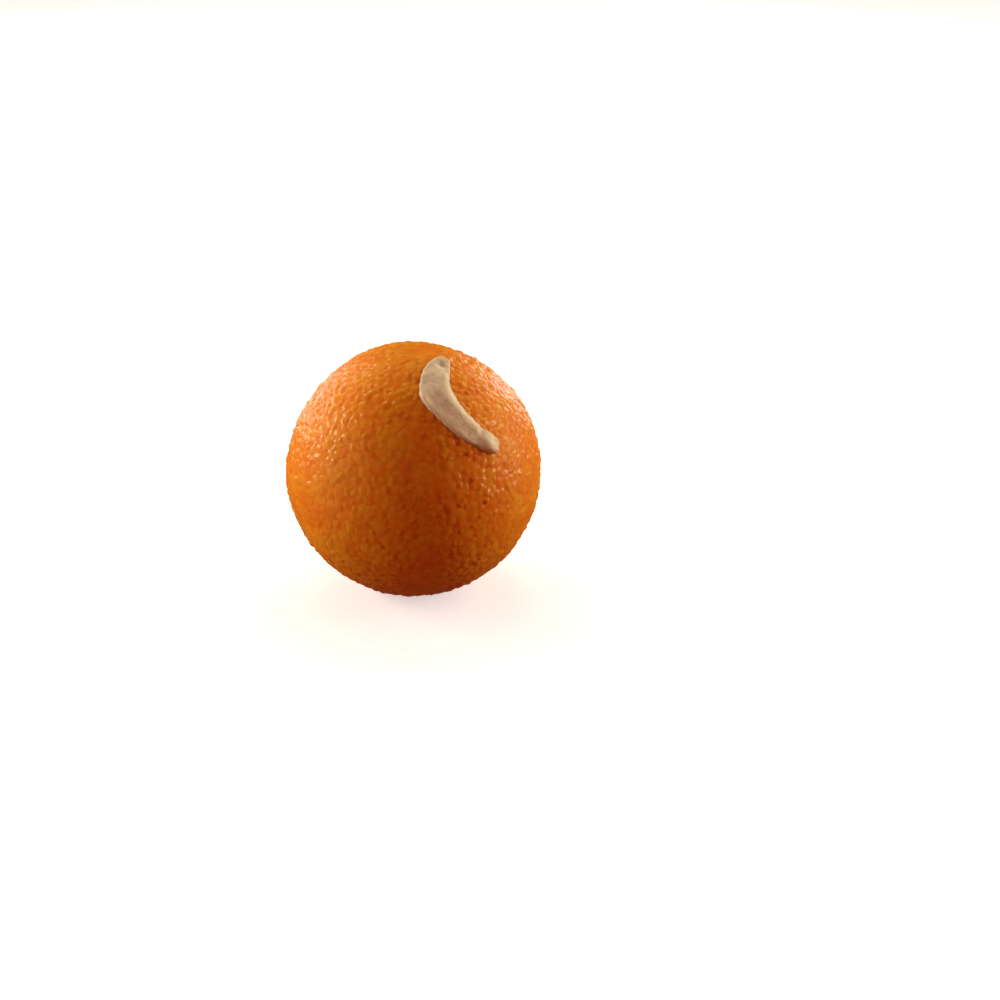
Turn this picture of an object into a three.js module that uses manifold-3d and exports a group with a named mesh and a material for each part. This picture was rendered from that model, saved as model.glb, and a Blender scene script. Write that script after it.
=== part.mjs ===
// A boondi ladoo: a hand-pressed ball of tiny fried gram-flour pearls (boondi) bound with sugar syrup, and
// one split cashew pushed into it with its cut face outwards. Two solids: the ball and the cashew.
// Millimetres, +Z up. The origin is the middle of the small flat spot that the ladoo rests on.

import * as THREE from "three";
import { ConvexHull } from "three/addons/math/ConvexHull.js";
import { mergeVertices } from "three/addons/utils/BufferGeometryUtils.js";
import Module from "manifold-3d";

// ---- Driving dimensions ----

// The ball, measured over the crowns of its pearls, and the spot that its own weight presses flat.
const BALL_DIAMETER = 54;
const REST_SPOT_DIAMETER = 18;

// Where the palms left the ball proud (height above 0) or pressed it in. Directions and spreads are degrees.
const HAND_MARKS = [
  { azimuth: 10, elevation: 23, spread: 16, height: 0.3 },
  { azimuth: 31, elevation: 50, spread: 13, height: -0.15 },
  { azimuth: 103, elevation: 66, spread: 15, height: 0.5 },
  { azimuth: 164, elevation: 32, spread: 20, height: -0.4 },
  { azimuth: 183, elevation: -7, spread: 16, height: 0.3 },
  { azimuth: 250, elevation: 5, spread: 22, height: -0.35 },
  { azimuth: 312, elevation: -20, spread: 20, height: 0.3 },
  { azimuth: 75, elevation: -15, spread: 22, height: -0.45 },
  { azimuth: 128, elevation: 5, spread: 18, height: 0.35 },
];

// The pearls, from the few large ones to the many small ones. PACKING is how close two may come, as a share
// of their radii together: under 1 they are squashed against each other.
const PEARL_DIAMETER = { smallest: 2.1, largest: 3.6 };
const PEARLS_TO_TRY = 2300;
const TRIES_FOR_EACH_PEARL = 90;
const SIZE_FALL_OFF = 3.2;
const PACKING = 0.79;
const PEARL_SEED = 41;

// How deep the hollows between pearls are: more where the pearls lie further apart for their size, up to
// DEEPEST_HOLLOW. The largest pearls stand proud as beads fused to the ball.
const HOLLOW_DEPTH = 0.4;
const DEEPEST_HOLLOW = 0.6;
const PROUD_PEARLS = 44;
const PROUD_BY = 0.3;

// The split cashew. Its middle line bends round an arc. Widths are measured from that line to its bulging
// side and to its hollow side, at even steps from its broad end to its narrow end, and the bulging side has a
// blunt corner. Places along it run from -1 at the broad end to 1 at the narrow end.
const CASHEW = {
  bendRadius: 11.65,
  halfBend: THREE.MathUtils.degToRad(68),
  bulgingSide: [2.8, 4.05, 3.75, 3.1, 2.55, 3.2],
  corner: { at: -0.2, spread: 0.14, width: 1.35 },
  hollowSide: [1.9, 2.5, 2.8, 3.1, 3.25, 2.8, 2.0],
  bluntness: { broadEnd: 0.45, narrowEnd: 0.42 },
  depth: 3.3,
  rimHeight: 1.0,
  rimRoundness: 0.5,
  troughDepth: 0.9,
  troughSharpness: 3,
  arch: 31,
};

// Where the cashew lies: the direction of its middle from the ball's centre, its turn about that direction
// and its lean towards its bulging side, in degrees, and how far its middle line stands above the ball and
// lies to the side of that direction.
const CASHEW_PLACE = { azimuth: -60.9, elevation: 50.25, spin: 6.2, lean: 5, above: -0.15, sideways: -1.85 };

// The pocket that the cashew presses into the pearls: the gap round it, and how far the pearls over it are
// cleared.
const POCKET_GAP = 0.35;
const POCKET_HEADROOM = 5;

// Facets round the cashew and along it.
const CASHEW_FACETS = { around: 24, along: 30 };

// ---- Working sizes ----

const BALL_RADIUS = BALL_DIAMETER / 2;
const CENTRE_HEIGHT = Math.sqrt(BALL_RADIUS ** 2 - (REST_SPOT_DIAMETER / 2) ** 2);

// Corners nearer to each other than this are one. A point this near to a sphere's axis is its pole.
const TOUCHING = 1e-3;

const UP = new THREE.Vector3(0, 0, 1);

const BOONDI = new THREE.MeshStandardMaterial({ color: "#e07a14", roughness: 0.4, metalness: 0 });
const NUT = new THREE.MeshStandardMaterial({ color: "#dcc29a", roughness: 0.55, metalness: 0 });

// ---- Solids ----

const wasm = await Module();
wasm.setup();

// A closed geometry as a manifold solid. Only positions are kept, so that corners that touch become one.
function solidOf(geometry) {
  const bare = geometry.clone();
  bare.deleteAttribute("normal");
  bare.deleteAttribute("uv");
  const merged = mergeVertices(bare, TOUCHING);
  return new wasm.Manifold(
    new wasm.Mesh({
      numProp: 3,
      vertProperties: new Float32Array(merged.attributes.position.array),
      triVerts: new Uint32Array(merged.index.array),
    }),
  );
}

function geometryOf(solid) {
  const mesh = solid.getMesh();
  return new THREE.BufferGeometry()
    .setAttribute("position", new THREE.BufferAttribute(mesh.vertProperties, 3))
    .setIndex(new THREE.BufferAttribute(mesh.triVerts, 1));
}

// ---- The ball ----

// Seeded random numbers from 0 to 1 (the mulberry32 generator), so that every run makes the same ladoo.
function seededRandom(seed) {
  let state = seed;
  return () => {
    state = (state + 0x6d2b79f5) | 0;
    let t = Math.imul(state ^ (state >>> 15), 1 | state);
    t = (t + Math.imul(t ^ (t >>> 7), 61 | t)) ^ t;
    return ((t ^ (t >>> 14)) >>> 0) / 2 ** 32;
  };
}

function directionOf({ azimuth, elevation }) {
  const [a, e] = [azimuth, elevation].map(THREE.MathUtils.degToRad);
  return new THREE.Vector3(Math.cos(a) * Math.cos(e), Math.sin(a) * Math.cos(e), Math.sin(e));
}

function randomDirection(random) {
  const z = 2 * random() - 1;
  const turn = 2 * Math.PI * random();
  const ring = Math.sqrt(1 - z * z);
  return new THREE.Vector3(ring * Math.cos(turn), ring * Math.sin(turn), z);
}

// The ball's radius over its pearls in a direction: round, less or more where the palms marked it.
function radiusTowards(direction) {
  return HAND_MARKS.reduce((radius, mark) => {
    const away = THREE.MathUtils.radToDeg(direction.angleTo(directionOf(mark))) / mark.spread;
    return radius + mark.height * Math.exp(-away * away);
  }, BALL_RADIUS);
}

// Pearls laid on the ball one by one, the largest first, each at the first random spot with room for it.
function layPearls() {
  const random = seededRandom(PEARL_SEED);
  const { smallest, largest } = PEARL_DIAMETER;
  const pearls = [];
  for (let n = 0; n < PEARLS_TO_TRY; n++) {
    const rank = n / PEARLS_TO_TRY;
    const radius = (smallest + (largest - smallest) * (1 - rank) ** SIZE_FALL_OFF) / 2;
    for (let go = 0; go < TRIES_FOR_EACH_PEARL; go++) {
      const direction = randomDirection(random);
      const clear = pearls.every(
        (p) => p.direction.distanceTo(direction) * BALL_RADIUS > PACKING * (p.radius + radius),
      );
      if (clear) {
        pearls.push({ direction, radius });
        break;
      }
    }
  }
  return pearls;
}

// The ball with a bump for each pearl. The hull of the pearls' directions joins neighbours into triangles,
// and the middle of each triangle is the hollow between three pearls. Every pearl is then a fan of facets,
// from its crown down to the hollows round it.
function bumpyBall(pearls) {
  const pearlAt = new Map(pearls.map((pearl) => [pearl.direction, pearl]));
  const hull = new ConvexHull().setFromPoints([...pearlAt.keys()]);
  const hollowOf = new Map(
    hull.faces.map((face) => {
      const pearl = pearlAt.get(face.edge.head().point);
      const reach = face.normal.distanceTo(pearl.direction) * BALL_RADIUS;
      const depth = Math.min((HOLLOW_DEPTH * reach) / pearl.radius, DEEPEST_HOLLOW);
      return [face, face.normal.clone().multiplyScalar(radiusTowards(face.normal) - depth)];
    }),
  );
  const corners = [];
  for (const face of hull.faces) {
    let edge = face.edge;
    do {
      const towards = edge.head().point;
      const crown = towards.clone().multiplyScalar(radiusTowards(towards));
      corners.push(crown, hollowOf.get(face), hollowOf.get(edge.twin.face));
      edge = edge.next;
    } while (edge !== face.edge);
  }
  return new THREE.BufferGeometry().setFromPoints(corners);
}

// One of the largest pearls as a bead of few sides, turned at random and standing proud of the ball.
function proudPearl({ direction, radius }, random) {
  const bead = new THREE.IcosahedronGeometry(radius, 0);
  bead.rotateX(2 * Math.PI * random());
  bead.rotateZ(2 * Math.PI * random());
  return bead.translate(...direction.clone().multiplyScalar(radiusTowards(direction) + PROUD_BY - radius));
}

// Everything under the surface that the ladoo rests on, as seen from the ball's centre.
function belowRestSpot() {
  const size = 2 * BALL_DIAMETER;
  return new THREE.BoxGeometry(size, size, size).translate(0, 0, -CENTRE_HEIGHT - size / 2);
}

function boondiBall(pocket) {
  const pearls = layPearls();
  const random = seededRandom(PEARL_SEED + 1);
  let ball = solidOf(bumpyBall(pearls));
  for (const pearl of pearls.slice(0, PROUD_PEARLS)) ball = ball.add(solidOf(proudPearl(pearl, random)));
  return ball.subtract(solidOf(belowRestSpot())).subtract(solidOf(pocket));
}

// ---- The cashew ----

// A smooth curve through widths given at even steps, read at a share from -1 to 1 of the cashew's length.
function widthAt(widths, along) {
  const steps = new THREE.SplineCurve(widths.map((width, n) => new THREE.Vector2(n, width)));
  return steps.getPoint((along + 1) / 2).y;
}

function hollowWidth(along) {
  return widthAt(CASHEW.hollowSide, along);
}

function bulgingWidth(along) {
  const { at, spread, width } = CASHEW.corner;
  return widthAt(CASHEW.bulgingSide, along) + width * Math.exp(-(((along - at) / spread) ** 2));
}

// The split cashew, from a sphere whose poles are its two ends: round below, and above a cut face with a
// rounded rim and a shallow trough. With a gap and headroom it is the pocket that the cashew fits instead.
function splitCashew(gap = 0, headroom = 0) {
  const { around, along: steps } = CASHEW_FACETS;
  const geometry = new THREE.SphereGeometry(1, around, steps).rotateZ(Math.PI / 2);
  const position = geometry.attributes.position;
  const reach = 1 + gap / (CASHEW.bendRadius * CASHEW.halfBend);
  for (let n = 0; n < position.count; n++) {
    const along = position.getX(n);
    const ring = Math.hypot(position.getY(n), position.getZ(n));
    const across = ring > TOUCHING ? position.getY(n) / ring : 0;
    const upward = ring > TOUCHING ? position.getZ(n) / ring : 0;
    const fullness = ring ** (along < 0 ? CASHEW.bluntness.broadEnd : CASHEW.bluntness.narrowEnd);

    const width = (across > 0 ? hollowWidth(along) : bulgingWidth(along)) * fullness + gap;
    const rim = CASHEW.rimHeight * fullness * Math.max(upward, 0) ** CASHEW.rimRoundness;
    const trough = CASHEW.troughDepth * ring * Math.max(upward, 0) ** CASHEW.troughSharpness;
    const lower = (CASHEW.depth * fullness + gap) * Math.min(upward, 0);
    const upper = headroom ? headroom * Math.max(upward, 0) : rim - trough;

    const bend = along * reach * CASHEW.halfBend;
    const outward = CASHEW.bendRadius - across * width;
    const x = outward * Math.sin(bend);
    const y = CASHEW.bendRadius - outward * Math.cos(bend);
    const sag = CASHEW.arch - Math.hypot(CASHEW.arch, x, y);
    position.setXYZ(n, x, y, upper + lower + sag);
  }
  return geometry;
}

// ---- The ladoo ----

const ladoo = new THREE.Group();
const centre = new THREE.Group();
centre.position.z = CENTRE_HEIGHT;
ladoo.add(centre);

// Nested groups turn the cashew's own frame, with its cut face towards +Z, to where it lies on the ball.
const aim = new THREE.Group();
const { azimuth, elevation, spin, lean, above, sideways } = CASHEW_PLACE;
aim.rotation.set(0, THREE.MathUtils.degToRad(90 - elevation), THREE.MathUtils.degToRad(azimuth), "ZYX");
centre.add(aim);

const cashew = new THREE.Mesh(splitCashew(), NUT);
cashew.name = "split_cashew";
cashew.rotation.set(THREE.MathUtils.degToRad(lean), 0, THREE.MathUtils.degToRad(spin), "ZYX");
const aside = new THREE.Vector3(0, sideways, 0).applyAxisAngle(UP, THREE.MathUtils.degToRad(spin));
cashew.position.copy(aside).setZ(BALL_RADIUS + above);
aim.add(cashew);

// The pocket is carved in the ball's own frame, so the cashew's place is carried over to it.
aim.updateMatrix();
cashew.updateMatrix();
const pocket = splitCashew(POCKET_GAP, POCKET_HEADROOM).applyMatrix4(cashew.matrix).applyMatrix4(aim.matrix);

const ball = new THREE.Mesh(geometryOf(boondiBall(pocket)), BOONDI);
ball.name = "boondi_ball";
centre.add(ball);

export default ladoo;
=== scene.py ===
"""A boondi ladoo: a hand-pressed ball of fried gram-flour pearls in syrup, with a split cashew set in it.

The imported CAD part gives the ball's form and the cashew's shape and place. This script lays about 2,600
pearls, each its own closed mesh, over a core of its own. It drops crumbs in the hollows between them, and
makes the cashew finer. Lengths are millimetres until a mesh is made, and then metres.
"""

import math

import bmesh
import bpy
import numpy as np
from mathutils import Matrix, Vector, noise
from mathutils.bvhtree import BVHTree
from mathutils.kdtree import KDTree


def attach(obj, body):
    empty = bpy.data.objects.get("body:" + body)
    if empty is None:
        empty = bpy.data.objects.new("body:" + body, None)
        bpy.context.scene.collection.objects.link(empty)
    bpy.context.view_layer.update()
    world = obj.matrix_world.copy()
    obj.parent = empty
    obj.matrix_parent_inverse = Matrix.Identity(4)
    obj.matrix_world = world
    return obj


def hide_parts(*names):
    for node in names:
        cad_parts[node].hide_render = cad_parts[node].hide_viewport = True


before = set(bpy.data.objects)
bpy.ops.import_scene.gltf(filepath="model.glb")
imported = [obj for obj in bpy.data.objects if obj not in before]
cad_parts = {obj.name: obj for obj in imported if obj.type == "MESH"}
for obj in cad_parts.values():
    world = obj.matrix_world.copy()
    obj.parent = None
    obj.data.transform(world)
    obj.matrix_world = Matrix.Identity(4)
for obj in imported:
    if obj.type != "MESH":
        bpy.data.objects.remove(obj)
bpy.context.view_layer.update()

# ---- Sizes, in millimetres ----

MM = 0.001
TURN = 2 * math.pi

# The ball of the CAD part: its radius over the pearls, and the flat spot that it rests on.
BALL_RADIUS = 27.0
REST_SPOT_RADIUS = 9.0
CENTRE = np.array([0.0, 0.0, math.sqrt(BALL_RADIUS**2 - REST_SPOT_RADIUS**2)])

# A point of the CAD ball is a crown if it is the highest within CROWN_SPACING and no deeper than
# CROWN_DEPTH under the ball's radius. The form over the crowns is smoothed by a bell, which FORM_SMOOTHING
# makes about 8 mm across. Points that are the same to CAD_DECIMALS are one.
CROWN_SPACING = 1.5
CROWN_DEPTH = 1.2
FORM_SMOOTHING = 60.0
CAD_DECIMALS = 3

# The pearls, from a few large ones to many small ones, as radii. PACKING is how close two may come, as a
# share of their radii together. Each is offered CANDIDATES random places, of which the roomiest PLACES_KEPT
# are tried.
PEARL_COUNT = 2650
SMALLEST_PEARL, LARGEST_PEARL = 0.70, 1.85
SIZE_FALL_OFF = 2.4
PACKING = 0.90
CANDIDATES = 40
PLACES_KEPT = 6
SEED = 11

# Pearls that crowd each other are then eased apart in so many rounds, this share of the way in each, until
# they have SPREADING_ROOM times the room that PACKING gives them.
SPREADING_ROUNDS = 60
SPREADING_ROOM = 1.18
SPREADING_STEP = 0.3

# How a pressed pearl is shaped: how far its edge lies under its crown, as a share of its radius, how its
# side falls away (2 is a bowl, more is a flatter crown with steeper sides), and how unevenly high the
# crowns lie.
SQUASH = (0.30, 0.52)
CROWN_FLATNESS = (1.8, 2.1)
CROWN_SCATTER = 0.06

# The front beads and the largest pearls, BEADS together, are round and stand proud. A share of the others
# is rounder and prouder than the rest.
BEADS = 44
BEAD_SQUASH = (0.60, 0.85)
BEAD_PROUD = (0.05, 0.20)
ROUND_SHARE = 0.20
ROUND_SQUASH = (0.48, 0.70)

# Round beads that catch the light on the dark front: azimuth, counted from the camera, elevation and
# radius. They stand prouder than the rest, and come first among the pearls.
FRONT_BEADS = (
    (16.4, 23.8, 1.8),
    (-12.7, 13.7, 1.5),
    (28.2, 16.2, 1.3),
    (25.5, 33.2, 1.1),
    (31.7, 28.4, 1.1),
    (34.2, 8.5, 1.1),
)
FRONT = slice(len(FRONT_BEADS))
FRONT_PROUD = 0.26
FRONT_SQUASH = 0.62
FRONT_KIND = "orange"

# How uneven a pearl's outline is, as shares of its radius: longer one way than the other, and waved by a
# few lobes. LUMPS are the waves of the pressed surface, as heights and sizes.
STRETCH = 0.12
WOBBLE = 0.10
WOBBLE_LOBES = 3
LUMPS = ((0.04, 0.6), (0.08, 1.5), (0.10, 2.8), (0.16, 5.0))

# A pearl's own two directions start from the upright, or from another one where its axis is this near to it,
# as a cosine.
NEAR_POLE = 0.9

# A pearl's middle lies MIDDLE_DEPTH of its radius under its crown, and stays CASHEW_ROOM of it off the
# cashew. The pearls beside the cashew are squeezed up by LIP_HEIGHT, which fades over LIP_SPREAD.
MIDDLE_DEPTH = 0.7
CASHEW_ROOM = 0.12
LIP_HEIGHT, LIP_SPREAD = 0.40, 1.9

# Crumbs of broken pearl in the deepest of HOLLOWS_TRIED random places, at least CRUMB_ROOM from one to the
# next.
CRUMB_COUNT = 520
CRUMB_RADIUS = (0.45, 0.80)
CRUMB_SQUASH = (0.45, 0.80)
CRUMB_PROUD = (0.08, 0.26)
CRUMB_ROOM = 1.35
HOLLOWS_TRIED = 9000

# Syrup fills the creases between pearls: a larger number leaves sharper creases, in 1/mm. No hollow is
# deeper than about SYRUP_DEPTH under the ball's form. Each place is shaped by so many of the pearls nearest
# to it, and takes the creases' colour, fuller syrup orange with a painted glow, until a pearl stands well
# over
# CREASE_LEAD above the others there.
CREASE_SHARPNESS = 6.5
SYRUP_DEPTH = 0.26
NEIGHBOURS = 14
CREASE_LEAD = 0.18

# A pearl's points in rings, from its crown to its foot: the share of the way to its rim, the drop under the
# syrup's skin in its radii, and how many points. The rim is tucked just under its neighbours, and the last
# two close it.
SPOKES = 24
RINGS = (
    (0.00, 0.000, 1),
    (0.22, 0.000, 6),
    (0.45, 0.000, 12),
    (0.66, 0.000, 24),
    (0.84, 0.000, 24),
    (1.00, 0.000, 24),
    (1.07, 0.015, 24),
    (0.70, 0.450, 12),
    (0.00, 0.800, 1),
)

# Where the rim is looked for along each spoke, in the pearl's radii, and a lead that counts as none.
REACH_STEPS = np.linspace(0.12, 2.0, 20)
TINY = 1e-9

# How far the core lies under the syrup's skin, under the cashew and off the floor. At a fineness of 6 it has
# 20,480 faces.
CORE_DEPTH = 0.10
CORE_UNDER_CASHEW = 0.4
CORE_OFF_FLOOR = 0.15
CORE_FINENESS = 6

# Shares of the kinds of pearl, by how they took the colour, which runs in loose patches of PATCH_SIZE.
KINDS = {"deep": 0.25, "orange": 0.25, "amber": 0.25, "golden": 0.25}
PATCH_SIZE = 5.0
PATCH_SCATTER = 0.22

# ---- The cashew; lengths in millimetres, angles in degrees ----

# The CAD cashew's own frame: the direction of its middle from the ball's centre, its spin and lean, and its
# middle line's height and shift. That line bends round an arc, from -1 at the broad end to 1 at the other.
CASHEW_AZIMUTH, CASHEW_ELEVATION, CASHEW_SPIN, CASHEW_LEAN = -60.9, 50.25, 6.2, 5.0
CASHEW_ABOVE, CASHEW_SIDEWAYS = -0.15, -1.85
CASHEW_BEND_RADIUS, CASHEW_HALF_BEND = 11.65, 68.0

# What the kernel's cut face shows over the CAD form: its place along the arc and across it, towards the
# hollow side, how far it spreads both ways, and its height. MARKS_HOLD is how far the surface may turn from
# the face, as a cosine, before they fade.
CASHEW_MARKS = {
    "shoulder": (-1.00, 1.5, 0.080, 1.0, -0.60),
    "dimple": (-0.80, -0.3, 0.075, 0.9, -0.50),
    "corner": (-0.16, -4.0, 0.120, 1.2, 0.55),
    "middle": (0.05, -0.5, 0.600, 2.6, 0.62),
    "knob": (0.83, -0.7, 0.130, 2.1, 1.00),
    "tip": (1.00, -0.4, 0.080, 3.0, -0.15),
    "fold": (0.60, 1.6, 0.040, 1.2, 0.22),
    "crease": (0.68, 1.7, 0.050, 1.6, -0.32),
}
MARKS_HOLD = 0.5

# The crest along the hollow side: how far in from that edge it runs, how broad it is each way and its
# height, and how much the edge itself is rounded off. That edge lies EDGE_AT across at its widest and
# curves in to the ends.
CREST_IN, CREST_SPREAD, CREST_HEIGHT = 2.1, 1.6, 0.58
CREST_FROM, CREST_TO, CREST_FADE = -0.72, 0.70, 0.07
EDGE_SPREAD, EDGE_DROP = 0.95, 0.40
EDGE_AT, EDGE_WIDEST, EDGE_CURVE = 3.15, 0.12, 1.4

# How the CAD form is made finer: faces divided, then eased in so many steps, each this share of the way.
# The waves of the kernel's surface are heights and sizes.
CASHEW_FINENESS = 2
CASHEW_SOFTENING, CASHEW_SOFTENING_STEP = 80, 0.5
CASHEW_WAVES = ((0.18, 3.0), (0.12, 1.3), (0.05, 0.6))

# Points of the CAD mesh this near, in metres, are one, and its triangles are paired whatever their angle,
# in radians.
SAME_PLACE = 1e-6
ANY_ANGLE = 3.2

# ---- Looks; colours are linear, heights in metres ----

# Colours of the kinds of pearl, a paler and a fuller one for each.
PEARL_COLOURS = {
    "deep": ((0.84, 0.240, 0.010, 1), (0.80, 0.200, 0.008, 1)),
    "orange": ((0.85, 0.265, 0.011, 1), (0.81, 0.225, 0.009, 1)),
    "amber": ((0.86, 0.290, 0.012, 1), (0.82, 0.245, 0.010, 1)),
    "golden": ((0.87, 0.325, 0.014, 1), (0.83, 0.275, 0.012, 1)),
    "crumb": ((0.87, 0.305, 0.014, 1), (0.83, 0.250, 0.012, 1)),
}
MOTTLE_COLOUR = (0.88, 0.355, 0.016, 1)
CORE_COLOURS = ((0.80, 0.200, 0.003, 1), (0.84, 0.240, 0.004, 1))

# The creases' colour is the fuller orange of the syrup that pools there. It is painted brighter than the
# pearls, as a painted glow of the light that spreads through the syrup into their shade. Then come how much
# of it they take, and how deep in one it starts, from 0 to 1.
CREASE_SYRUP_AND_GLOW = (0.92, 0.245, 0.010, 1)
CREASE_SHARE = 0.6
CREASE_FROM = 0.15

# The cashew's colours: darker in its hollows as painted shade, lighter on what rises as painted light, and in
# its blotches; and the rise from one to the other, in mm.
CASHEW_SHADED_LOW = (0.64, 0.555, 0.38, 1)
CASHEW_LIT_HIGH = (0.80, 0.710, 0.49, 1)
CASHEW_BLOTCH = (0.56, 0.48, 0.33, 1)
CASHEW_SHADING_RISE = (-0.1, 0.45)

# Patches of a noise: how many to the metre, how finely broken, the noise where they start and end growing,
# and what they come to at those two. The first three are shares of a colour, the last is a roughness.
FULLER_PATCHES = {"scale": 600, "detail": 2, "start": 0.45, "end": 0.70, "low": 0, "high": 0.8}
MOTTLE_PATCHES = {"scale": 330, "detail": 3, "start": 0.50, "end": 0.70, "low": 0, "high": 0.5}
CASHEW_PATCHES = {"scale": 260, "detail": 3, "start": 0.45, "end": 0.75, "low": 0, "high": 0.5}
CASHEW_ROUGHNESS = {"scale": 500, "detail": 3, "start": 0.30, "end": 0.70, "low": 0.42, "high": 0.62}
CORE_NOISE_SCALE = 300

# Relief too fine for the meshes, made from noise of that scale and height.
GRAIN = {"scale": 2600, "detail": 2, "height": 0.00005, "strength": 0.8}
PITS = {"scale": 1200, "detail": 2, "height": 0.00010, "strength": 0.8}
CASHEW_GRAIN = {"scale": 700, "detail": 4, "roughness": 0.6, "height": 0.00025, "strength": 0.7}

# Light spreads inside the syrup, so the pearls are shaded as if they were less bumpy, by this share from 0
# to 1, and their gloss by the smaller one. The distances that red, green and blue light spread are shares
# of a scale.
SOFTENING = 0.76
GLOSS_SOFTENING = 0.12
SYRUP_SCATTER, SYRUP_SCATTER_SCALE = (0.40, 0.16, 0.04), 0.001
CASHEW_SCATTER, CASHEW_SCATTER_SCALE = (1.0, 0.7, 0.4), 0.0015
FOOD_IOR = 1.45

# ---- Studio, in metres, and camera; pixels are of the 1000 pixel frame ----

# The floor and the round backdrop about it glow, so that they look pale without lamps of their own.
FLOOR_SIZE, FLOOR_GLOW = 8.0, 0.55
BACKDROP_RADIUS, BACKDROP_GLOW = 4.0, 0.85
BACKDROP_SEGMENTS, BACKDROP_RINGS = 48, 24
STAGE_COLOUR = (0.86, 0.86, 0.86, 1)
WHITE = (1, 1, 1, 1)

# GLOW is the red light that the sweets round a ladoo throw on it. It also fills the world, at GLOW_STRENGTH.
LAMP_WHITE = (0.94, 1.0, 0.94)
LAMP_WARM = (1.0, 0.80, 0.50)
GLOW = (1.0, 0.27, 0.12)
GLOW_STRENGTH = 0.19

# Square lamps aimed at the ball: azimuth, counted from the camera, elevation, distance, size, power,
# colour, and whether the gloss shows them. The small ones are there for their glints.
LAMPS = {
    "softbox_left": (-90, 10, 0.55, 0.6, 2.75, LAMP_WHITE, False),
    "softbox_right": (108, 9, 0.55, 0.6, 2.6, LAMP_WHITE, False),
    "softbox_top": (180, 54, 0.55, 0.4, 1.1, LAMP_WHITE, False),
    "softbox_front": (0, 28, 1.0, 0.8, 0.42, GLOW, True),
    "bounce_left": (-70, 3, 0.55, 0.3, 0.3, GLOW, False),
    "bounce_right": (70, 3, 0.55, 0.3, 0.15, GLOW, False),
    "glint_left": (-112, 16, 0.55, 0.18, 1.2, LAMP_WARM, True),
    "glint_right": (92, 12, 0.55, 0.18, 0.95, LAMP_WARM, True),
    "glint_back_left": (-142, 36, 0.55, 0.18, 0.40, LAMP_WARM, True),
    "glint_back_right": (136, 32, 0.55, 0.18, 0.30, LAMP_WARM, True),
    "glint_rim_left": (-150, 5, 0.55, 0.18, 0.35, LAMP_WHITE, True),
    "glint_rim_right": (150, 5, 0.55, 0.18, 0.40, LAMP_WHITE, True),
}

# The camera's lens and sensor are in millimetres. The ball's middle and radius in the frame are in pixels.
FRAME_PIXELS = 1000
VIEW_ELEVATION = 23.3
LENS, SENSOR = 90.0, 36.0
BALL_PIXEL_RADIUS = 127.3
BALL_PIXEL = (414.2, 468.0)
CLIP_NEAR, CLIP_FAR = 0.01, 20

rng = np.random.default_rng(SEED)


# ---- Small helpers ----

def normalised(vectors):
    return vectors / np.linalg.norm(vectors, axis=-1, keepdims=True)


def between(low_high, count):
    """Random numbers, even between the two."""
    return rng.uniform(*low_high, count)


def direction(azimuth, elevation):
    """Unit directions at an azimuth counted from the camera, towards +X, and an elevation, in degrees."""
    a, e = np.radians(azimuth), np.radians(elevation)
    return np.stack([np.sin(a) * np.cos(e), -np.cos(a) * np.cos(e), np.sin(e)], axis=-1)


def random_directions(count):
    z = rng.uniform(-1, 1, count)
    turn = rng.uniform(0, TURN, count)
    ring = np.sqrt(1 - z * z)
    return np.stack([ring * np.cos(turn), ring * np.sin(turn), z], axis=1)


def tree_of(points):
    tree = KDTree(len(points))
    for number, point in enumerate(points):
        tree.insert(point, number)
    tree.balance()
    return tree


def nearest(tree, points, count):
    """The numbers of the tree's points nearest to each of these points, the nearest first."""
    return np.array([[found[1] for found in tree.find_n(point, count)] for point in points])


def noise_at(points, size):
    """Smooth noise from -1 to 1 at points in millimetres, with features of that size."""
    return np.array([noise.noise(Vector(point)) for point in points.reshape(-1, 3) / size])


def waves_at(points, waves):
    """Noise of several heights and sizes together, in millimetres."""
    return sum(height * noise_at(points, size) for height, size in waves)


def placed(name, data):
    """A new object of the scene, with that mesh, light or camera."""
    made = bpy.data.objects.new(name, data)
    bpy.context.scene.collection.objects.link(made)
    return made


def set_points(mesh, points):
    """Moves the mesh's points to these, which are in millimetres."""
    mesh.vertices.foreach_set("co", (points * MM).astype(np.float32).ravel())


def set_values(mesh, name, numbers):
    """Keeps a number for each point, for a material to read."""
    mesh.attributes.new(name, "FLOAT", "POINT").data.foreach_set("value", numbers.astype(np.float32).ravel())


def mesh_piece(name, points, triangles, material, values=None):
    """A smooth mesh object from points in millimetres, with values as attributes of its points."""
    mesh = bpy.data.meshes.new(name)
    mesh.vertices.add(len(points))
    set_points(mesh, points)
    mesh.loops.add(3 * len(triangles))
    mesh.loops.foreach_set("vertex_index", triangles.astype(np.int32).ravel())
    mesh.polygons.add(len(triangles))
    mesh.polygons.foreach_set("loop_start", np.arange(0, 3 * len(triangles), 3, dtype=np.int32))
    for key, numbers in (values or {}).items():
        set_values(mesh, key, numbers)
    mesh.update(calc_edges=True)
    mesh.validate()
    mesh.shade_smooth()
    mesh.materials.append(material)
    return placed(name, mesh)


# ---- The form of the CAD part ----

def node_points(name):
    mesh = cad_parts[name].data
    points = np.zeros(3 * len(mesh.vertices), np.float32)
    mesh.vertices.foreach_get("co", points)
    return points.reshape(-1, 3).astype(float) / MM


def node_surface(name):
    """The node's surface for measuring distances to it, in millimetres."""
    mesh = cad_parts[name].data
    points = [v.co / MM for v in mesh.vertices]
    return BVHTree.FromPolygons(points, [tuple(p.vertices) for p in mesh.polygons])


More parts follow.
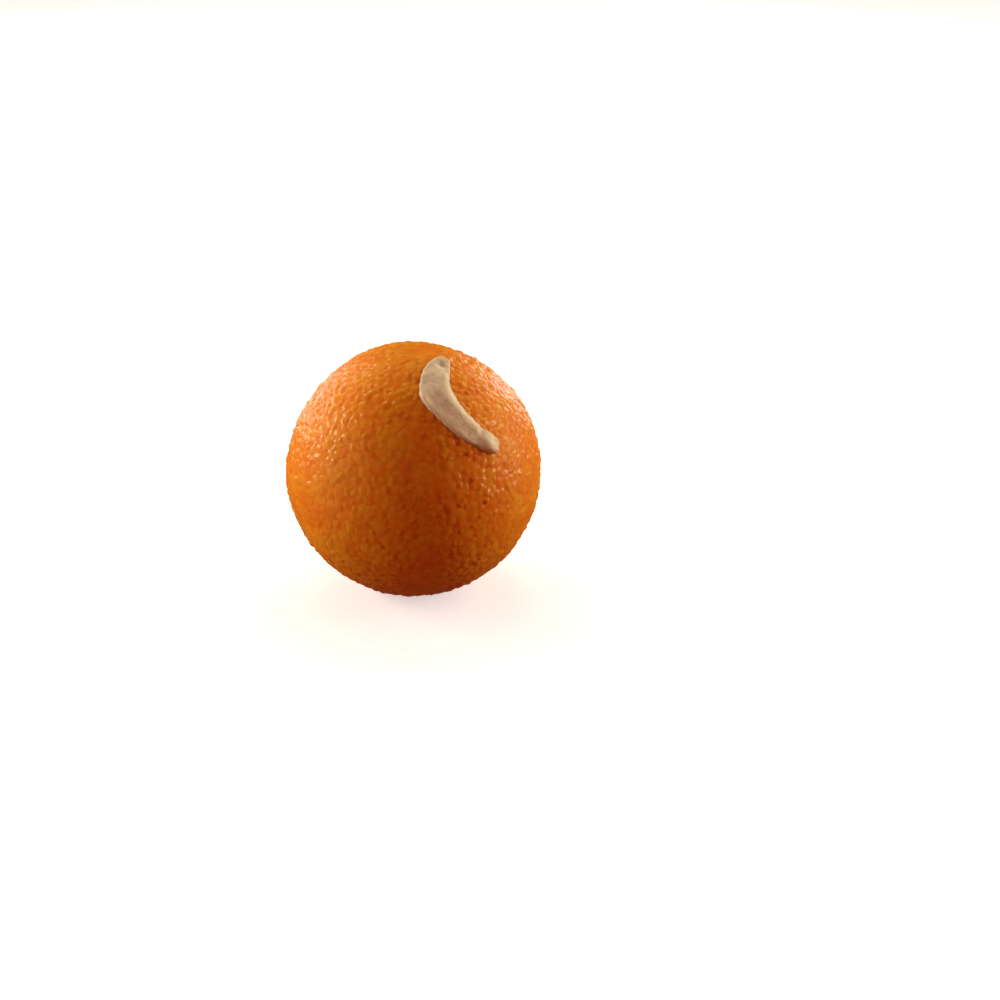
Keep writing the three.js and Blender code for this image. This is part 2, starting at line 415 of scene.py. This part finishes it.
def crown_map():
    """Directions and heights of the CAD ball's crowns: its points that stand highest of those near them."""
    spokes = np.unique(np.round(node_points("boondi_ball") - CENTRE, CAD_DECIMALS), axis=0)
    heights = np.linalg.norm(spokes, axis=1)
    directions = spokes / heights[:, None]
    tree = tree_of(directions)
    reach = CROWN_SPACING / BALL_RADIUS
    highest = np.array([max(heights[n] for _, n, _ in tree.find_range(d, reach)) for d in directions])
    crowns = (heights >= highest) & (heights > BALL_RADIUS - CROWN_DEPTH)
    return directions[crowns], heights[crowns]


CASHEW_SURFACE = node_surface("split_cashew")
CROWN_DIRECTIONS, CROWN_HEIGHTS = crown_map()


def form_radius(directions):
    """The ball's radius over its pearls towards each direction, smoothed from the CAD ball's crowns."""
    weights = np.exp(FORM_SMOOTHING * (directions @ CROWN_DIRECTIONS.T - 1))
    return weights @ CROWN_HEIGHTS / weights.sum(axis=1)


def clear_of_cashew(direction, radius):
    """Whether a pearl of that radius, its crown on the ball, stays out of the cashew."""
    middle = Vector(CENTRE + direction * (BALL_RADIUS - MIDDLE_DEPTH * radius))
    place, normal, _, distance = CASHEW_SURFACE.find_nearest(middle)
    outside = (middle - place).dot(normal) > 0
    return outside and distance > CASHEW_ROOM * radius


def lip_height(directions, heights):
    """How far the pearls beside the cashew are squeezed up against it."""
    crowns = CENTRE + directions * heights[:, None]
    away = np.array([CASHEW_SURFACE.find_nearest(Vector(crown))[3] for crown in crowns])
    return LIP_HEIGHT * np.exp(-(away / LIP_SPREAD) ** 2)


# ---- Laying the pearls ----

def chords(first, second):
    """Distances between directions on the ball, in millimetres, a row for each of the first."""
    return BALL_RADIUS * np.sqrt(np.maximum(2 - 2 * first @ second.T, 0))


def lay_pearls():
    """Axes and radii of the front beads, then of the pearls from the largest, each where it has most room."""
    rank = np.arange(PEARL_COUNT) / PEARL_COUNT
    radii = SMALLEST_PEARL + (LARGEST_PEARL - SMALLEST_PEARL) * (1 - rank) ** SIZE_FALL_OFF
    azimuths, elevations, front_radii = np.array(FRONT_BEADS).T
    count = len(FRONT_BEADS)
    axes = np.concatenate([direction(azimuths, elevations), np.zeros((PEARL_COUNT, 3))])
    kept = np.concatenate([front_radii, np.zeros(PEARL_COUNT)])
    for radius in radii:
        places = random_directions(CANDIDATES)
        room = chords(places, axes[:count]) - PACKING * (kept[:count] + radius)
        roomiest = np.argsort(-room.min(axis=1, initial=BALL_RADIUS))
        free = [n for n in roomiest[:PLACES_KEPT] if clear_of_cashew(places[n], radius)]
        if free:
            axes[count], kept[count] = places[free[0]], radius
            count += 1
    return axes[:count], kept[:count]


def spread_out(axes, radii):
    """Eases pearls that crowd each other apart, a little at a time, until they lie evenly."""
    together = PACKING * SPREADING_ROOM * (radii[:, None] + radii)
    for _ in range(SPREADING_ROUNDS):
        apart = chords(axes, axes)
        np.fill_diagonal(apart, BALL_RADIUS)
        crowding = np.maximum(together / apart - 1, 0)
        shift = SPREADING_STEP * (axes * crowding.sum(axis=1)[:, None] - crowding @ axes)
        shift[FRONT] = 0
        moved = normalised(axes + shift)
        for n in np.nonzero(crowding.max(axis=1))[0]:
            if not clear_of_cashew(moved[n], radii[n]):
                moved[n] = axes[n]
        axes = moved
    return axes


def tangents(axes):
    """Two directions across each axis, turned at random."""
    near_pole = np.abs(axes[:, 2:3]) >= NEAR_POLE
    helper = np.where(near_pole, [[1.0, 0.0, 0.0]], [[0.0, 0.0, 1.0]])
    first = normalised(np.cross(helper, axes))
    second = np.cross(axes, first)
    turn = rng.uniform(0, TURN, (len(axes), 1))
    return np.cos(turn) * first + np.sin(turn) * second, np.cos(turn) * second - np.sin(turn) * first


def domes(axes, radii, squash, crowns, floors, kinds):
    """Uneven domes about those axes, as arrays with a row for each. Pearls and crumbs are both domes."""
    count = len(axes)
    across, along = tangents(axes)
    return {
        "axis": axes,
        "across": across,
        "along": along,
        "radius": radii,
        "fall": squash * radii,
        "flatness": between(CROWN_FLATNESS, count),
        "crown": crowns,
        "floor": floors,
        "stretch": np.exp(rng.normal(0, STRETCH, count)),
        "wobble": WOBBLE * rng.random(count),
        "wobble_turn": rng.uniform(0, TURN, count),
        "tone": rng.random(count),
        "kind": kinds,
    }


def kinds_of(axes):
    """Each pearl's kind, as its number in KINDS, so that the kinds lie in loose patches."""
    patch = noise_at(axes * BALL_RADIUS, PATCH_SIZE) + rng.normal(0, PATCH_SCATTER, len(axes))
    limits = np.quantile(patch, np.cumsum(list(KINDS.values()))[:-1])
    kinds = np.searchsorted(limits, patch)
    kinds[FRONT] = list(KINDS).index(FRONT_KIND)
    return kinds


def make_pearl_domes():
    axes, radii = lay_pearls()
    axes = spread_out(axes, radii)
    count = len(radii)
    bead = np.arange(count) < BEADS
    rounder = rng.random(count) < ROUND_SHARE
    squash = np.where(rounder, between(ROUND_SQUASH, count), between(SQUASH, count))
    squash = np.where(bead, between(BEAD_SQUASH, count), squash)
    squash[FRONT] = FRONT_SQUASH
    proud = np.where(bead | rounder, between(BEAD_PROUD, count), 0) + rng.normal(0, CROWN_SCATTER, count)
    proud[FRONT] = FRONT_PROUD
    kinds = kinds_of(axes)
    form = form_radius(axes)
    pearls = domes(axes, radii, squash, form + proud + lip_height(axes, form), form - SYRUP_DEPTH, kinds)
    pearls["stretch"][bead] = 1
    pearls["wobble"][bead] = 0
    return pearls


def deepest_hollows(pearls):
    """Directions of the deepest hollows between the pearls, spaced apart, and the syrup's height there."""
    places = random_directions(HOLLOWS_TRIED)
    near = nearest(tree_of(pearls["axis"]), places, NEIGHBOURS)
    heights = syrup_height(pearls, near, places[:, None])[:, 0]
    depth = form_radius(places) - heights
    chosen = []
    for n in np.argsort(-depth):
        spaced = not chosen or chords(places[n:n + 1], places[chosen]).min() > CRUMB_ROOM
        if spaced and clear_of_cashew(places[n], CRUMB_RADIUS[0]):
            chosen.append(n)
        if len(chosen) == CRUMB_COUNT:
            break
    return places[chosen], heights[chosen]


def add_crumbs(pearls):
    """The pearls and small crumbs, which lie in the deepest hollows between them."""
    axes, heights = deepest_hollows(pearls)
    count = len(axes)
    radii = between(CRUMB_RADIUS, count)
    crowns = heights + between(CRUMB_PROUD, count)
    kinds = np.full(count, len(KINDS))
    crumbs = domes(axes, radii, between(CRUMB_SQUASH, count), crowns, form_radius(axes) - SYRUP_DEPTH, kinds)
    return {key: np.concatenate([pearls[key], crumbs[key]]) for key in pearls}


# ---- The shape of a pearl ----

def dome_heights(every, which, directions):
    """How far from the ball's centre these domes' tops lie, towards the directions in each one's row."""
    own = {key: values[which] for key, values in every.items()}
    x = np.einsum("nvk,nk->nv", directions, own["across"]) * BALL_RADIUS / own["stretch"][:, None]
    y = np.einsum("nvk,nk->nv", directions, own["along"]) * BALL_RADIUS * own["stretch"][:, None]
    wave = np.cos(WOBBLE_LOBES * np.arctan2(y, x) - own["wobble_turn"][:, None])
    reach = np.hypot(x, y) * (1 + own["wobble"][:, None] * wave) / own["radius"][:, None]
    return own["crown"][:, None] - own["fall"][:, None] * reach ** own["flatness"][:, None]


def syrup_height(every, near, directions):
    """The height of the syrup's skin over the domes near each row of directions, rounded in the creases."""
    floor = every["floor"][near[:, 0]][:, None]
    total = np.exp(CREASE_SHARPNESS * (floor - BALL_RADIUS))
    for column in near.T:
        total = total + np.exp(CREASE_SHARPNESS * (dome_heights(every, column, directions) - BALL_RADIUS))
    return BALL_RADIUS + np.log(total) / CREASE_SHARPNESS


def highest_neighbour(every, near, directions):
    """The height of the highest dome but its own, which comes first in each row of near."""
    highest = dome_heights(every, near[:, 1], directions)
    for column in near.T[2:]:
        highest = np.maximum(highest, dome_heights(every, column, directions))
    return highest


def dome_directions(every, turns, reaches):
    """Directions at turns and reaches round each dome's axis; a reach of 1 is its radius."""
    x = every["radius"][:, None] * reaches * np.cos(turns) * every["stretch"][:, None]
    y = every["radius"][:, None] * reaches * np.sin(turns) / every["stretch"][:, None]
    aside = x[..., None] * every["across"][:, None] + y[..., None] * every["along"][:, None]
    return normalised(every["axis"][:, None] + aside / BALL_RADIUS)


def rim_reaches(every, near):
    """How far each dome runs along each spoke before a neighbour stands higher, in its radii."""
    count, steps = len(near), len(REACH_STEPS)
    turns = np.repeat(TURN * np.arange(SPOKES) / SPOKES, steps)
    directions = dome_directions(every, turns, np.tile(REACH_STEPS, SPOKES))
    lead = dome_heights(every, near[:, 0], directions) - highest_neighbour(every, near, directions)
    lead = lead.reshape(count, SPOKES, steps)
    lost = lead < 0
    last = np.where(lost.any(axis=2), lost.argmax(axis=2), steps - 1)
    first = np.maximum(last - 1, 0)
    lead_first = np.take_along_axis(lead, first[..., None], axis=2)[..., 0]
    lead_last = np.take_along_axis(lead, last[..., None], axis=2)[..., 0]
    share = np.where(lead_last < 0, lead_first / np.maximum(lead_first - lead_last, TINY), 1)
    return REACH_STEPS[first] + np.clip(share, 0, 1) * (REACH_STEPS[last] - REACH_STEPS[first])


def zip_rings(inner, outer):
    """Triangles between two rings of point numbers at even turns, the inner ring nearer the crown."""
    inner_steps = len(inner) if len(inner) > 1 else 0
    outer_steps = len(outer) if len(outer) > 1 else 0
    triangles, i, o = [], 0, 0
    while i < inner_steps or o < outer_steps:
        a, b = inner[i % len(inner)], outer[o % len(outer)]
        if o < outer_steps and (i >= inner_steps or (o + 1) / outer_steps <= (i + 1) / inner_steps):
            triangles.append((a, b, outer[(o + 1) % len(outer)]))
            o += 1
        else:
            triangles.append((a, b, inner[(i + 1) % len(inner)]))
            i += 1
    return triangles


def pearl_pattern():
    """One pearl's points, as spoke numbers, shares of the way to its rim and drops, and its facets."""
    spokes, shares, drops, triangles, before = [], [], [], [], None
    for share, drop, points in RINGS:
        numbers = list(range(len(spokes), len(spokes) + points))
        spokes += [n * SPOKES // points for n in range(points)]
        shares += [share] * points
        drops += [drop] * points
        if before:
            triangles += zip_rings(before, numbers)
        before = numbers
    return np.array(spokes), np.array(shares), np.array(drops), np.array(triangles)


def dome_surfaces(every):
    """Every dome's points in rows, how deep in a crease each lies from 0 to 1, and the facets of one."""
    spokes, shares, drops, triangles = pearl_pattern()
    near = nearest(tree_of(every["axis"]), every["axis"], NEIGHBOURS)
    reaches = rim_reaches(every, near)[:, spokes] * shares
    directions = dome_directions(every, TURN * spokes / SPOKES, reaches)
    own = dome_heights(every, near[:, 0], directions)
    other = highest_neighbour(every, near, directions)
    crease = np.exp(-np.maximum(own - other, 0) / CREASE_LEAD)
    height = syrup_height(every, near, directions) - drops * every["radius"][:, None]
    height += waves_at(directions * BALL_RADIUS, LUMPS).reshape(height.shape)
    points = CENTRE + directions * height[..., None]
    points[..., 2] = np.maximum(points[..., 2], 0)
    return points, crease, triangles


def make_pearls(every, materials):
    """One piece for each kind of pearl, and one of crumbs."""
    points, crease, triangles = dome_surfaces(every)
    per_dome = points.shape[1]
    pieces = []
    for number, (name, material) in enumerate(materials.items()):
        rows = np.nonzero(every["kind"] == number)[0]
        facets = (np.arange(len(rows))[:, None, None] * per_dome + triangles).reshape(-1, 3)
        values = {"tone": np.repeat(every["tone"][rows], per_dome), "crease": crease[rows]}
        pieces.append(mesh_piece(name, points[rows].reshape(-1, 3), facets, material, values))
    return pieces


# ---- The core ----

def make_core(every, material):
    """The pressed crumb and syrup close under the pearls, with a hollow where the cashew sits."""
    ball = bmesh.new()
    bmesh.ops.create_icosphere(ball, subdivisions=CORE_FINENESS, radius=1.0)
    directions = normalised(np.array([v.co[:] for v in ball.verts]))
    triangles = np.array([[v.index for v in f.verts] for f in ball.faces])
    ball.free()
    near = nearest(tree_of(every["axis"]), directions, NEIGHBOURS)
    radii = syrup_height(every, near, directions[:, None])[:, 0] - CORE_DEPTH
    radii += waves_at(directions * BALL_RADIUS, LUMPS)
    for n, direction in enumerate(directions):
        reach = CASHEW_SURFACE.ray_cast(Vector(CENTRE), Vector(direction))[3]
        if reach is not None:
            radii[n] = min(radii[n], reach - CORE_UNDER_CASHEW)
    points = CENTRE + directions * radii[:, None]
    points[:, 2] = np.maximum(points[:, 2], CORE_OFF_FLOOR)
    return mesh_piece("syrup_core", points, triangles, material)


# ---- The cashew ----

def cashew_frame():
    """The matrix from the cashew's own frame, its cut face towards +Z, to the ladoo's, in millimetres."""
    return (
        Matrix.Translation(CENTRE)
        @ Matrix.Rotation(math.radians(CASHEW_AZIMUTH), 4, "Z")
        @ Matrix.Rotation(math.radians(90 - CASHEW_ELEVATION), 4, "Y")
        @ Matrix.Rotation(math.radians(CASHEW_SPIN), 4, "Z")
        @ Matrix.Translation((0, CASHEW_SIDEWAYS, BALL_RADIUS + CASHEW_ABOVE))
        @ Matrix.Rotation(math.radians(CASHEW_LEAN), 4, "X")
    )


def cashew_rise(points, normals):
    """How far each point of the cashew rises along its face's direction, and that direction."""
    own = np.array(cashew_frame())
    local = (points - own[:3, 3]) @ own[:3, :3]
    facing = own[:3, 2]
    towards_bend = CASHEW_BEND_RADIUS - local[:, 1]
    along = np.degrees(np.arctan2(local[:, 0], towards_bend)) / CASHEW_HALF_BEND
    across = CASHEW_BEND_RADIUS - np.hypot(local[:, 0], towards_bend)
    rise = np.zeros(len(points))
    for at, side, length, width, height in CASHEW_MARKS.values():
        rise += height * np.exp(-((along - at) / length) ** 2 - ((across - side) / width) ** 2)
    inwards = EDGE_AT - EDGE_CURVE * (along - EDGE_WIDEST) ** 2 - across
    started = 1 / (1 + np.exp((CREST_FROM - along) / CREST_FADE))
    ends = started / (1 + np.exp((along - CREST_TO) / CREST_FADE))
    rise += CREST_HEIGHT * ends * np.exp(-((inwards - CREST_IN) / CREST_SPREAD) ** 2)
    rise -= EDGE_DROP * ends * np.exp(-(inwards / EDGE_SPREAD) ** 2)
    return rise * np.clip(normals @ facing / MARKS_HOLD, 0, 1), facing


def finer_cashew():
    """The CAD cashew as an object of its own, with smaller and softer faces."""
    kernel = bmesh.new()
    kernel.from_mesh(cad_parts["split_cashew"].data)
    bmesh.ops.remove_doubles(kernel, verts=kernel.verts, dist=SAME_PLACE)
    bmesh.ops.recalc_face_normals(kernel, faces=kernel.faces)
    angles = {"angle_face_threshold": ANY_ANGLE, "angle_shape_threshold": ANY_ANGLE}
    bmesh.ops.join_triangles(kernel, faces=kernel.faces, **angles)
    mesh = bpy.data.meshes.new("cashew_kernel")
    kernel.to_mesh(mesh)
    kernel.free()
    piece = placed("cashew_kernel", mesh)
    finer = piece.modifiers.new("finer", "SUBSURF")
    finer.levels = finer.render_levels = CASHEW_FINENESS
    softer = piece.modifiers.new("softer", "SMOOTH")
    softer.factor, softer.iterations = CASHEW_SOFTENING_STEP, CASHEW_SOFTENING
    depsgraph = bpy.context.evaluated_depsgraph_get()
    fine = bpy.data.meshes.new_from_object(piece.evaluated_get(depsgraph))
    piece.modifiers.clear()
    piece.data = fine
    return piece


def make_cashew(material):
    """The CAD cashew's form, finer, with the marks and small waves of a real kernel."""
    piece = finer_cashew()
    mesh = piece.data
    points = np.array([v.co[:] for v in mesh.vertices]) / MM
    normals = np.array([v.normal[:] for v in mesh.vertices])
    wave = waves_at(points, CASHEW_WAVES)
    rise, facing = cashew_rise(points, normals)
    points += normals * wave[:, None] + facing * rise[:, None]
    # The rise is kept for the material's painted shade, darker where the kernel lies lower.
    set_values(mesh, "rise", rise + wave)
    set_points(mesh, points)
    mesh.update()
    mesh.materials.clear()
    mesh.materials.append(material)
    mesh.shade_smooth()
    return piece


# ---- Materials ----

class Material:
    """A Principled material and short ways to add nodes to it."""

    # The two inputs and the result of a Mix node, by what it mixes.
    MIX_SOCKETS = {"RGBA": (6, 7, 2), "VECTOR": (4, 5, 1)}

    def __init__(self, name):
        self.material = bpy.data.materials.new(name)
        self.material.use_nodes = True
        self.tree = self.material.node_tree
        self.shader = self.tree.nodes["Principled BSDF"]

    def feed(self, socket, value):
        """Links another node's socket, or sets a number, colour or vector."""
        if isinstance(value, bpy.types.NodeSocket):
            self.tree.links.new(value, socket)
        else:
            socket.default_value = value

    def set(self, **inputs):
        """Feeds the shader's own sockets."""
        for key, value in inputs.items():
            self.feed(self.shader.inputs[key.replace("_", " ")], value)

    def node(self, kind, settings=None, **inputs):
        """A new node with those settings, its named sockets fed."""
        made = self.tree.nodes.new(kind)
        for key, value in (settings or {}).items():
            setattr(made, key, value)
        for key, value in inputs.items():
            self.feed(made.inputs[key.replace("_", " ")], value)
        return made

    def attribute(self, name):
        return self.node("ShaderNodeAttribute", {"attribute_name": name}).outputs["Fac"]

    def place(self):
        return self.node("ShaderNodeTexCoord").outputs["Object"]

    def noise(self, scale, detail, roughness=0.5):
        kind = {"Scale": scale, "Detail": detail, "Roughness": roughness}
        return self.node("ShaderNodeTexNoise", Vector=self.place(), **kind).outputs["Fac"]

    def mapped(self, value, start, end, low, high):
        """The value taken from start and end over to low and high, and held there beyond them."""
        ends = {"From_Min": start, "From_Max": end, "To_Min": low, "To_Max": high}
        return self.node("ShaderNodeMapRange", Value=value, **ends).outputs["Result"]

    def patches(self, scale, detail, start, end, low, high):
        """Patches of a noise: low where it is under start, and high from end on."""
        return self.mapped(self.noise(scale, detail), start, end, low, high)

    def mix(self, factor, first, second, data="RGBA"):
        made = self.node("ShaderNodeMix", {"data_type": data})
        first_input, second_input, result = self.MIX_SOCKETS[data]
        self.feed(made.inputs[0], factor)
        self.feed(made.inputs[first_input], first)
        self.feed(made.inputs[second_input], second)
        return made.outputs[result]

    def vectors(self, operation, *values):
        made = self.node("ShaderNodeVectorMath", {"operation": operation})
        for socket, value in zip(made.inputs, values):
            self.feed(socket, value)
        return made.outputs[0]

    def softened_normal(self, share):
        """The surface's direction, turned by that share towards the whole ball's."""
        away = self.vectors("NORMALIZE", self.vectors("SUBTRACT", self.place(), tuple(CENTRE * MM)))
        return self.mix(share, self.node("ShaderNodeNewGeometry").outputs["Normal"], away, "VECTOR")

    def bump(self, scale, detail, height, strength, roughness=0.5, under=None):
        """Relief of a noise over the surface, or over the relief under it."""
        relief = self.noise(scale, detail, roughness)
        made = self.node("ShaderNodeBump", Height=relief, Distance=height, Strength=strength)
        if under is not None:
            self.feed(made.inputs["Normal"], under)
        return made.outputs["Normal"]


def pearl_material(kind):
    """Fried gram flour soaked in syrup, with golden mottles. The creases take the fuller orange of pooled
    syrup, painted brighter as a glow of light spread into their shade.
    """
    pale, full = PEARL_COLOURS[kind]
    m = Material(f"boondi_{kind}")
    tint = m.mix(m.attribute("tone"), pale, full)
    tint = m.mix(m.patches(**FULLER_PATCHES), tint, full)
    tint = m.mix(m.patches(**MOTTLE_PATCHES), tint, MOTTLE_COLOUR)
    # Painted glow: the creases take a brighter, fuller orange that stands in for light spread through the
    # syrup.
    colour = m.mix(m.mapped(m.attribute("crease"), CREASE_FROM, 1, 0, CREASE_SHARE), tint, CREASE_SYRUP_AND_GLOW)
    grain = m.bump(**GRAIN, under=m.softened_normal(GLOSS_SOFTENING))
    m.set(Base_Color=colour, Roughness=0.5, Normal=m.softened_normal(SOFTENING))
    m.set(IOR=FOOD_IOR, Specular_IOR_Level=0.1)
    m.set(Subsurface_Weight=0.30, Subsurface_Scale=SYRUP_SCATTER_SCALE, Subsurface_Radius=SYRUP_SCATTER)
    m.set(Coat_Weight=0.6, Coat_Roughness=0.17, Coat_IOR=FOOD_IOR, Coat_Normal=m.bump(**PITS, under=grain))
    return m.material


def core_material():
    m = Material("boondi_syrup")
    colour = m.mix(m.noise(CORE_NOISE_SCALE, 2), *CORE_COLOURS)
    m.set(Base_Color=colour, Roughness=0.5, Normal=m.softened_normal(SOFTENING))
    m.set(IOR=FOOD_IOR, Specular_IOR_Level=0.1)
    m.set(Coat_Weight=0.3, Coat_Roughness=0.2)
    return m.material


def cashew_material():
    m = Material("cashew_cream")
    # Painted shade and light: the cream darkens in the hollows and lightens on what rises.
    shaded_cream = m.mix(m.mapped(m.attribute("rise"), *CASHEW_SHADING_RISE, 0, 1), CASHEW_SHADED_LOW, CASHEW_LIT_HIGH)
    colour = m.mix(m.patches(**CASHEW_PATCHES), shaded_cream, CASHEW_BLOTCH)
    m.set(Base_Color=colour, Roughness=m.patches(**CASHEW_ROUGHNESS), IOR=FOOD_IOR)
    m.set(Normal=m.bump(**CASHEW_GRAIN))
    m.set(Subsurface_Weight=0.4, Subsurface_Scale=CASHEW_SCATTER_SCALE, Subsurface_Radius=CASHEW_SCATTER)
    return m.material


# ---- The ladoo ----

piece_kinds = {f"pearls_{kind}": pearl_material(kind) for kind in KINDS}
piece_kinds["pearl_crumbs"] = pearl_material("crumb")
boondi_domes = add_crumbs(make_pearl_domes())
boondi = make_pearls(boondi_domes, piece_kinds)
boondi.append(make_core(boondi_domes, core_material()))
cashew = make_cashew(cashew_material())

for piece in boondi:
    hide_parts("boondi_ball")
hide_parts("split_cashew")
for piece in [*boondi, cashew]:
    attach(piece, "root")


# ---- Floor, backdrop, light and camera ----

def pale_stage(piece, name, glow):
    """A matt white surface of the studio that shows, and takes shadows, but throws no light on the ladoo."""
    piece.name = name
    m = Material(f"{name}_pale")
    m.set(Base_Color=STAGE_COLOUR, Roughness=0.8, Specular_IOR_Level=0.0)
    m.set(Emission_Color=WHITE, Emission_Strength=glow)
    piece.data.materials.append(m.material)
    piece.visible_diffuse = False
    piece.visible_glossy = False


def make_stage():
    bpy.ops.mesh.primitive_plane_add(size=FLOOR_SIZE)
    pale_stage(bpy.context.object, "floor", FLOOR_GLOW)
    rings = {"segments": BACKDROP_SEGMENTS, "ring_count": BACKDROP_RINGS}
    bpy.ops.mesh.primitive_uv_sphere_add(radius=BACKDROP_RADIUS, **rings)
    bpy.ops.object.shade_smooth()
    backdrop = bpy.context.object
    pale_stage(backdrop, "backdrop", BACKDROP_GLOW)
    backdrop.visible_shadow = False


def make_lamp(name, azimuth, elevation, distance, size, power, colour, glossy):
    """A square area light aimed at the ball, unseen by the camera."""
    light = bpy.data.lights.new(name, "AREA")
    light.size = size
    light.energy = power
    light.color = colour
    lamp = placed(name, light)
    away = Vector(direction(azimuth, elevation))
    lamp.location = Vector(CENTRE * MM) + away * distance
    lamp.rotation_mode = "QUATERNION"
    lamp.rotation_quaternion = away.to_track_quat("Z", "Y")
    lamp.visible_camera = False
    lamp.visible_glossy = glossy


def make_world():
    world = bpy.data.worlds.new("studio")
    world.use_nodes = True
    background = world.node_tree.nodes["Background"]
    background.inputs["Color"].default_value = (*GLOW, 1)
    background.inputs["Strength"].default_value = GLOW_STRENGTH
    bpy.context.scene.world = world


def make_camera():
    """A long lens at the elevation the dish shows, aimed so that the ball lands at its pixel."""
    camera = bpy.data.cameras.new("camera")
    camera.lens, camera.sensor_width = LENS, SENSOR
    camera.clip_start, camera.clip_end = CLIP_NEAR, CLIP_FAR
    pixel = SENSOR / FRAME_PIXELS
    distance = BALL_RADIUS * MM * LENS / (BALL_PIXEL_RADIUS * pixel)
    e = math.radians(VIEW_ELEVATION)
    back = Vector((0, -math.cos(e), math.sin(e)))
    up = Vector((0, math.sin(e), math.cos(e)))
    right = Vector((1, 0, 0))
    across = (BALL_PIXEL[0] - FRAME_PIXELS / 2) * pixel / LENS
    above = (FRAME_PIXELS / 2 - BALL_PIXEL[1]) * pixel / LENS
    forward = (-back - right * across - up * above).normalized()
    rig = placed("camera", camera)
    rig.location = Vector(CENTRE * MM) + back * distance
    rig.rotation_mode = "QUATERNION"
    rig.rotation_quaternion = forward.to_track_quat("-Z", "Y")
    bpy.context.scene.camera = rig


make_stage()
for name, lamp in LAMPS.items():
    make_lamp(name, *lamp)
make_world()
make_camera()
bpy.context.scene.view_settings.view_transform = "Standard"
